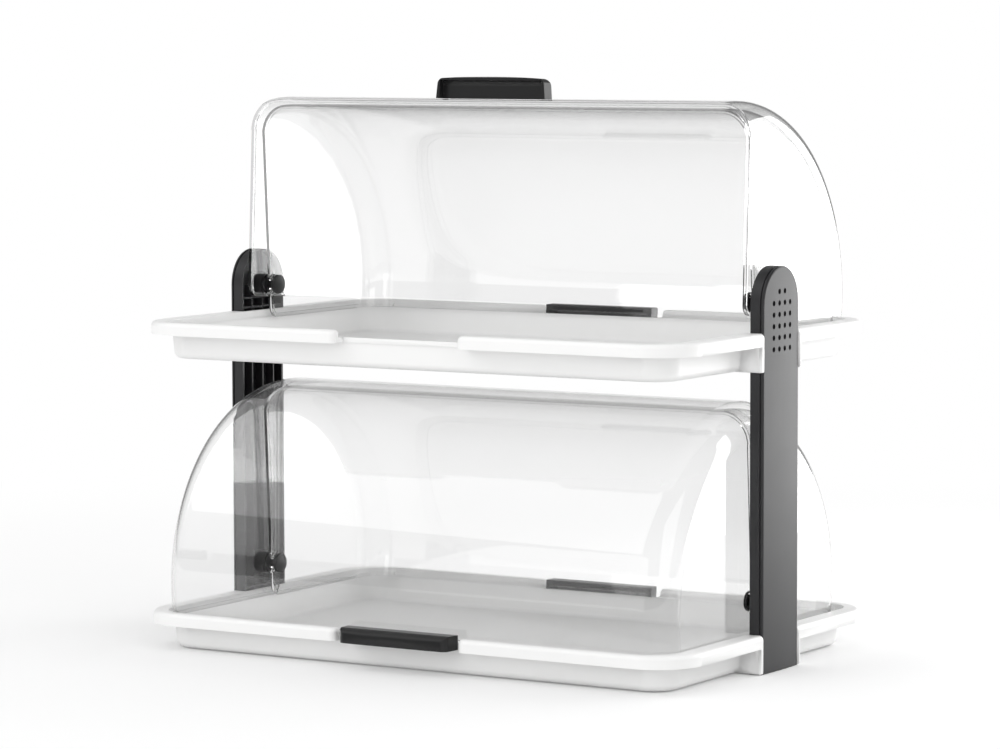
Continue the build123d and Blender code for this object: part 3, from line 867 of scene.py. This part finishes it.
def handle_plan():
    """The grip seen from above: ends with a little draft, round corners and a bulging front."""
    sizes = bpy.context.scene.bin_handle
    half, corner = sizes.length / 2, sizes.corner
    side_x, side_y = half - sizes.draft - corner, sizes.bulge + corner - sizes.reach
    turn = [step * math.pi / 16 for step in range(9)]
    rounded = [(side_x + corner * math.cos(angle), side_y - corner * math.sin(angle)) for angle in turn]
    front = arc_through(rounded[-1], (0.0, sizes.trim - sizes.reach), (-side_x, side_y - corner), 24)
    right = [(half, 0.0)] + rounded
    return right + front[1:-1] + [(-x, y) for x, y in reversed(right)]


def closed_handle(name, radius):
    """A handle on a closed front cover: a hooked bar, round in plan, hollow between its closed ends."""
    sizes = bpy.context.scene.bin_handle
    drop = bpy.context.scene.bin_cover.drop - sizes.rise
    face = math.sqrt(radius**2 - drop**2)
    grip, fingers = handle_sections()
    half, inside = sizes.length / 2 + sizes.edge, sizes.length / 2 - sizes.end_wall
    handle = prism(name, [(-half, y, z) for y, z in grip], (2 * half, 0.0, 0.0))
    plan = prism("grip_plan", [(x, y, -2 * sizes.lip) for x, y in handle_plan()], (0.0, 0.0, 4 * sizes.lip))
    hollow = prism("finger_hollow", [(-inside, y, z) for y, z in fingers], (2 * inside, 0.0, 0.0))
    combine(handle, plan, "INTERSECT")
    combine(handle, hollow, "DIFFERENCE")
    round_edges(handle, sizes.edge, 4, 40)
    smooth_flat(handle, 50)
    place(handle, Matrix.Translation((0.0, -face, -drop)))
    return handle


class BIN_OT_handles(Operator):
    """Model the black grips that are pushed on to the covers' tongues"""

    bl_idname = "display_bin.handles"
    bl_label = "Handles"

    def execute(self, context):
        sizes = context.scene.bin_cover
        for end, radius in (("front", sizes.front_radius), ("rear", sizes.rear_radius)):
            pattern = closed_handle(f"{end}_handle_pattern", radius)
            for tier in PIVOTS:
                piece = copy_of(pattern, f"{tier}_{end}_grip")
                place(piece, rest_place(tier, end))
                finish_piece(piece, f"{tier}_{end}_handle", bpy.data.materials["grip_black"])
            remove(pattern)
        return {"FINISHED"}


# ---- knobs -------------------------------------------------------------------------------------------
def turned(name, outline, steps):
    """A piece turned about X from its outline, drawn as (x, radius)."""
    piece = drawn_line(name, [(x, 0.0, away) for x, away in outline])
    edit(piece, "VERT")
    bpy.ops.mesh.select_all(action="SELECT")
    bpy.ops.mesh.spin(steps=steps, angle=2 * math.pi, center=(0.0, 0.0, 0.0), axis=(1.0, 0.0, 0.0))
    merge_all(2 * TOUCH)
    bpy.ops.mesh.normals_make_consistent(inside=False)
    leave()
    return piece


def knob_outline():
    """Outline of the right-hand knob: dome, rim, flat back, shoulder and the stud's bore."""
    sizes = bpy.context.scene.bin_knob
    tip = sizes.face - sizes.height
    rise = sizes.height - sizes.edge
    arc = (rise**2 + sizes.radius**2) / (2 * rise)
    sweep = math.asin(sizes.radius / arc)
    points = []
    for step in range(15):
        angle = sweep * step / 14
        points.append((tip + arc * (1 - math.cos(angle)), arc * math.sin(angle)))
    points[-1] = (points[-1][0] - DOME_BACK, sizes.radius - DOME_IN)
    points += [
        (tip + rise + KNOB_ROUND, sizes.radius),
        (sizes.face - KNOB_ROUND, sizes.radius),
        (sizes.face, sizes.radius - KNOB_ROUND),
        (sizes.face, sizes.shoulder),
        (sizes.root, sizes.shoulder),
        (sizes.root, sizes.bore),
        (tip + sizes.height / 2, sizes.bore),
        (tip + sizes.height / 2, 0.0),
    ]
    return points


class BIN_OT_knobs(Operator):
    """Model the four domed pivot knobs"""

    bl_idname = "display_bin.knobs"
    bl_label = "Knobs"

    def execute(self, context):
        right = turned("knob_pattern", knob_outline(), 72)
        smooth(right, 35)
        for tier, height in PIVOTS.items():
            for side in ("right", "left"):
                piece = copy_of(right, f"{tier}_{side}_domed_knob")
                turn = Matrix.Rotation(math.pi, 4, "Z") if side == "left" else Matrix.Identity(4)
                place(piece, Matrix.Translation((0.0, 0.0, height)) @ turn)
                finish_piece(piece, f"{tier}_{side}_knob", bpy.data.materials["grip_black"])
        remove(right)
        return {"FINISHED"}


# ---- trays, posts and fastenings ---------------------------------------------------------------------
def dress(words, material):
    """Gives a material to every CAD node whose name holds one of the words."""
    count = 0
    for name, node in FRAME["nodes"].items():
        if any(word in name for word in words):
            node.data.materials.clear()
            node.data.materials.append(bpy.data.materials[material])
            count += 1
    need(count, f"the nodes of {material}")


def quarter(centre, radius, start, steps=12):
    """Points on a quarter circle in plan, from a start angle in degrees, turning left."""
    angles = [math.radians(start + 90 * step / steps) for step in range(steps + 1)]
    return [(centre[0] + radius * math.cos(angle), centre[1] + radius * math.sin(angle)) for angle in angles]


def raised_end():
    """The raised end of a tray, right-hand side: the rim made wider round the post's slot."""
    sizes = bpy.context.scene.bin_tray
    outer_y, outer_radius = sizes.side + sizes.bury, sizes.rim_corner + sizes.bury
    outer = (sizes.overlap - outer_radius, outer_y - outer_radius)
    inner = (sizes.end - sizes.corner, sizes.side - sizes.corner)
    plan = quarter((outer[0], -outer[1]), outer_radius, -90) + quarter(outer, outer_radius, 0)
    plan += [(inner[0], outer_y)]
    plan += reversed(quarter(inner, sizes.corner, 0))
    plan += reversed(quarter((inner[0], -inner[1]), sizes.corner, -90))
    plan += [(inner[0], -outer_y)]
    block = prism("raised_end", [(x, y, sizes.seat) for x, y in plan], (0.0, 0.0, sizes.top - sizes.seat))
    face, end, half = sizes.post_face, CAD_BOX[1][0], sizes.post_width / 2
    around = [(face, -half, 0.0), (end, -half, 0.0), (end, half, 0.0), (face, half, 0.0)]
    combine(block, prism("post_slot", around, (0.0, 0.0, 2 * sizes.top)), "DIFFERENCE")
    round_edges(block, sizes.edge, 4, 60)
    return block


class BIN_OT_trays(Operator):
    """Finish the white trays, with their raised ends, and the rubber feet"""

    bl_idname = "display_bin.trays"
    bl_label = "Trays"

    def execute(self, context):
        pitch = PIVOTS["upper"] - PIVOTS["lower"]
        for tier, height in (("lower", 0.0), ("upper", pitch)):
            tray = copy_of(FRAME["nodes"][f"{tier}_tray"], f"{tier}_moulded_tray")
            edit(tray, "VERT")
            merge_all(TOUCH)
            leave()
            for turn in (0.0, math.pi):
                block = raised_end()
                place(block, Matrix.Translation((0.0, 0.0, height)) @ Matrix.Rotation(turn, 4, "Z"))
                combine(tray, block, "UNION")
            smooth_flat(tray, 30)
            finish_piece(tray, f"{tier}_tray", bpy.data.materials["tray_white"])
        dress(("rubber_feet",), "foot_rubber")
        return {"FINISHED"}


class BIN_OT_posts(Operator):
    """Finish the anthracite posts and their outer covers"""

    bl_idname = "display_bin.posts"
    bl_label = "Posts"

    def execute(self, context):
        dress(("_post",), "post_anthracite")
        return {"FINISHED"}


class BIN_OT_fastenings(Operator):
    """Finish the screws, nuts, studs and washers"""

    bl_idname = "display_bin.fastenings"
    bl_label = "Fastenings"

    def execute(self, context):
        dress(("_screws", "_nut", "_stud"), "zinc_plated")
        dress(("_washer",), "grip_black")
        return {"FINISHED"}


# ---- stage -------------------------------------------------------------------------------------------
def soft_light(name, power, size, location, aim):
    """A square area light aimed at a point."""
    data = bpy.data.lights.new(name, "AREA")
    data.energy = power
    data.size = size
    light = bpy.data.objects.new(name, data)
    bpy.context.scene.collection.objects.link(light)
    light.location = location
    light.rotation_mode = "QUATERNION"
    light.rotation_quaternion = (Vector(aim) - Vector(location)).to_track_quat("-Z", "Y")
    return light


def seen_directly(tree):
    """1 for rays that see the background itself, in a mirror or through the covers."""
    path = tree.nodes.new("ShaderNodeLightPath")
    rays = math_node(tree, "ADD", path.outputs["Is Camera Ray"], path.outputs["Is Glossy Ray"], clamp=True)
    return math_node(tree, "ADD", rays, path.outputs["Is Transmission Ray"], clamp=True)


def eased(tree, value, low, high):
    """0 below one value, 1 above another, and smooth between."""
    node = tree.nodes.new("ShaderNodeMapRange")
    node.interpolation_type = "SMOOTHSTEP"
    tree.links.new(value, node.inputs["Value"])
    node.inputs["From Min"].default_value = low
    node.inputs["From Max"].default_value = high
    return node.outputs["Result"]


def pale_world(strength, shade):
    """White surroundings that light the bin, with a dark room beside the backdrop to mirror."""
    world = bpy.data.worlds.new("pale_surroundings")
    bpy.context.scene.world = world
    world.use_nodes = True
    tree = world.node_tree
    tree.nodes.clear()
    towards = tree.nodes.new("ShaderNodeVectorMath")
    towards.operation = "DOT_PRODUCT"
    tree.links.new(tree.nodes.new("ShaderNodeTexCoord").outputs["Generated"], towards.inputs[0])
    towards.inputs[1].default_value = BACKDROP
    backdrop = eased(tree, towards.outputs["Value"], math.cos(BACKDROP_OUTER), math.cos(BACKDROP_INNER))
    away = math_node(tree, "SUBTRACT", 1.0, backdrop)
    path = tree.nodes.new("ShaderNodeLightPath")
    mirrored = math_node(tree, "MULTIPLY", away, path.outputs["Is Glossy Ray"])
    dimmed = math_node(tree, "MULTIPLY", mirrored, 1.0 - shade)
    seen = tree.nodes.new("ShaderNodeBackground")
    tree.links.new(math_node(tree, "SUBTRACT", 1.0, dimmed), seen.inputs["Strength"])
    lit = tree.nodes.new("ShaderNodeBackground")
    lit.inputs["Strength"].default_value = strength
    for background in (seen, lit):
        background.inputs["Color"].default_value = WHITE
    blend = tree.nodes.new("ShaderNodeMixShader")
    end = tree.nodes.new("ShaderNodeOutputWorld")
    tree.links.new(seen_directly(tree), blend.inputs[0])
    tree.links.new(lit.outputs[0], blend.inputs[1])
    tree.links.new(seen.outputs[0], blend.inputs[2])
    tree.links.new(blend.outputs[0], end.inputs["Surface"])


def pale_floor(tint, strength):
    """A wide white floor that keeps the bin's shadow near it and turns to plain white further out."""
    select_nothing()
    bpy.ops.mesh.primitive_circle_add(vertices=96, radius=FLOOR_RADIUS, fill_type="NGON")
    floor = bpy.context.object
    floor.name = "floor"
    material, tree, shader, vector = new_material("floor_white")
    reach = tree.nodes.new("ShaderNodeVectorMath")
    reach.operation = "LENGTH"
    tree.links.new(vector, reach.inputs[0])
    far = eased(tree, reach.outputs["Value"], FLOOR_NEAR, FLOOR_FAR)
    near = math_node(tree, "SUBTRACT", 1.0, far)
    paper = tree.nodes.new("ShaderNodeVectorMath")
    paper.operation = "SCALE"
    paper.inputs[0].default_value = tint
    tree.links.new(near, paper.inputs["Scale"])
    tree.links.new(paper.outputs["Vector"], shader.inputs["Base Color"])
    shader.inputs["Roughness"].default_value = 0.9
    shader.inputs["Specular IOR Level"].default_value = 0.0
    shader.inputs["Emission Color"].default_value = WHITE
    direct = seen_directly(tree)
    lifted = math_node(tree, "MULTIPLY", math_node(tree, "MULTIPLY", near, direct), FLOOR_LIFT)
    shown = math_node(tree, "ADD", math_node(tree, "MULTIPLY", direct, 1.0 - strength), strength)
    glow = math_node(tree, "ADD", math_node(tree, "MULTIPLY", shown, far), lifted)
    tree.links.new(glow, shader.inputs["Emission Strength"])
    floor.data.materials.append(material)


def studio_camera(stage):
    """The camera, at its angle, distance and lens."""
    azimuth, elevation = stage.azimuth, stage.elevation
    level = math.cos(elevation)
    back = Vector((math.sin(azimuth) * level, -math.cos(azimuth) * level, math.sin(elevation)))
    right = Vector((math.cos(azimuth), math.sin(azimuth), 0.0))
    up = back.cross(right)
    across = right * math.cos(stage.roll) + up * math.sin(stage.roll)
    upwards = up * math.cos(stage.roll) - right * math.sin(stage.roll)
    aim = Vector((0.0, 0.0, stage.aim_height)) + right * stage.aim_right + up * stage.aim_up
    data = bpy.data.cameras.new("camera")
    data.lens = stage.lens
    data.sensor_width = 36.0
    data.sensor_fit = "HORIZONTAL"
    data.clip_end = 200.0
    camera = bpy.data.objects.new("camera", data)
    bpy.context.scene.collection.objects.link(camera)
    turn = Matrix((across, upwards, back)).transposed()
    camera.matrix_world = Matrix.Translation(aim + back * stage.distance) @ turn.to_4x4()
    bpy.context.scene.camera = camera


class BIN_OT_stage(Operator):
    """Set up the floor, the lights and the camera"""

    bl_idname = "display_bin.stage"
    bl_label = "Stage"

    def execute(self, context):
        stage = context.scene.bin_stage
        pale_world(stage.sky, stage.shade)
        pale_floor(stage.floor, stage.sky)
        for name, watts, size, location, aim, unseen in LIGHTS:
            light = soft_light(name, getattr(stage, watts), size, location, aim)
            if unseen:
                setattr(light, unseen, False)
        context.scene.view_settings.view_transform = "Standard"
        studio_camera(stage)
        return {"FINISHED"}


class BIN_PT_panel(Panel):
    """Lists the bin's sizes and the steps that build it"""

    bl_idname = "BIN_PT_panel"
    bl_label = "Bread display bin"
    bl_space_type = "VIEW_3D"
    bl_region_type = "UI"
    bl_category = "Display bin"

    def draw(self, context):
        for step in STEPS:
            self.layout.operator(step.bl_idname)
        for name, group in GROUPS.items():
            box = self.layout.box()
            box.label(text=group.__doc__)
            for value in group.__annotations__:
                box.prop(getattr(context.scene, name), value)


STEPS = (
    BIN_OT_finishes,
    BIN_OT_trays,
    BIN_OT_posts,
    BIN_OT_fastenings,
    BIN_OT_covers,
    BIN_OT_handles,
    BIN_OT_knobs,
    BIN_OT_stage,
)


def register():
    for group in GROUPS.values():
        bpy.utils.register_class(group)
    for step in STEPS:
        bpy.utils.register_class(step)
    bpy.utils.register_class(BIN_PT_panel)
    for name, group in GROUPS.items():
        setattr(bpy.types.Scene, name, PointerProperty(type=group))


def unregister():
    for name in GROUPS:
        delattr(bpy.types.Scene, name)
    bpy.utils.unregister_class(BIN_PT_panel)
    for step in reversed(STEPS):
        bpy.utils.unregister_class(step)
    for group in reversed(list(GROUPS.values())):
        bpy.utils.unregister_class(group)


def main():
    register()
    bpy.ops.display_bin.finishes()
    bpy.ops.display_bin.trays()
    bpy.ops.display_bin.posts()
    bpy.ops.display_bin.fastenings()
    bpy.ops.display_bin.covers()
    bpy.ops.display_bin.handles()
    bpy.ops.display_bin.knobs()
    bpy.ops.display_bin.stage()


if __name__ == "__main__":
    main()
